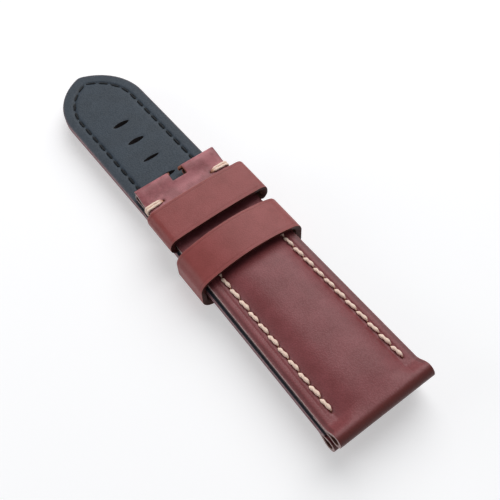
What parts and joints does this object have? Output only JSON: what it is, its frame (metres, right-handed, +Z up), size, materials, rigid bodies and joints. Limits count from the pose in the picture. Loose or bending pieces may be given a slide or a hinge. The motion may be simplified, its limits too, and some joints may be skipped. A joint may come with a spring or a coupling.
{
  "type": "leather watch strap",
  "caption": "Two-piece padded leather watch strap, packed flat, with rolled spring-bar ends, a pointed tail with tang holes, a fixed keeper and a sliding keeper.",
  "frame": {"origin": "on the surface that the packed strap lies on, at the middle of its length and width", "axes": "+Y along the strap from the lug ends towards the tail's tip, +Z up out of the buckle half's face leather, X across the strap"},
  "size_m": [0.0276, 0.1188, 0.0116],
  "materials": {
    "face_leather": "smooth semi-matt reddish brown leather",
    "keeper_leather": "smooth semi-matt reddish brown leather, edges worn lighter",
    "lining_leather": "matt blue-grey lining leather",
    "interlining": "raw leather board",
    "padding": "pressed fibre filler",
    "face_thread": "waxed beige thread",
    "lining_thread": "dark waxed thread"
  },
  "bodies": {
    "buckle_half": {"buckle_half_face_leather": "face_leather", "buckle_half_padding": "padding", "buckle_half_interlining": "interlining", "buckle_half_lining": "lining_leather", "buckle_end_reinforcement": "interlining", "buckle_half_seam_thread_left": "face_thread", "buckle_half_seam_thread_right": "face_thread", "buckle_half_lining_thread_left": "lining_thread", "buckle_half_lining_thread_right": "lining_thread", "tack_stitch_left": "face_thread", "tack_stitch_right": "face_thread", "fixed_keeper": "keeper_leather"},
    "free_keeper": {"free_keeper": "keeper_leather"},
    "tail_half": {"tail_half_face_leather": "face_leather", "tail_half_padding": "padding", "tail_half_interlining": "interlining", "tail_half_lining": "lining_leather", "tail_half_seam_thread": "face_thread", "tail_half_lining_thread": "lining_thread"}
  },
  "joints": [
    {"name": "free_keeper_slide", "type": "slide", "parent": "buckle_half", "child": "free_keeper", "axis": [0, 1, 0], "range_m": [-0.035, 0.0022]},
    {"name": "tail_half_slide", "type": "slide", "parent": "buckle_half", "child": "tail_half", "axis": [-0.0105, 0.9999, 0], "range_m": [-0.08, 0]}
  ]
}
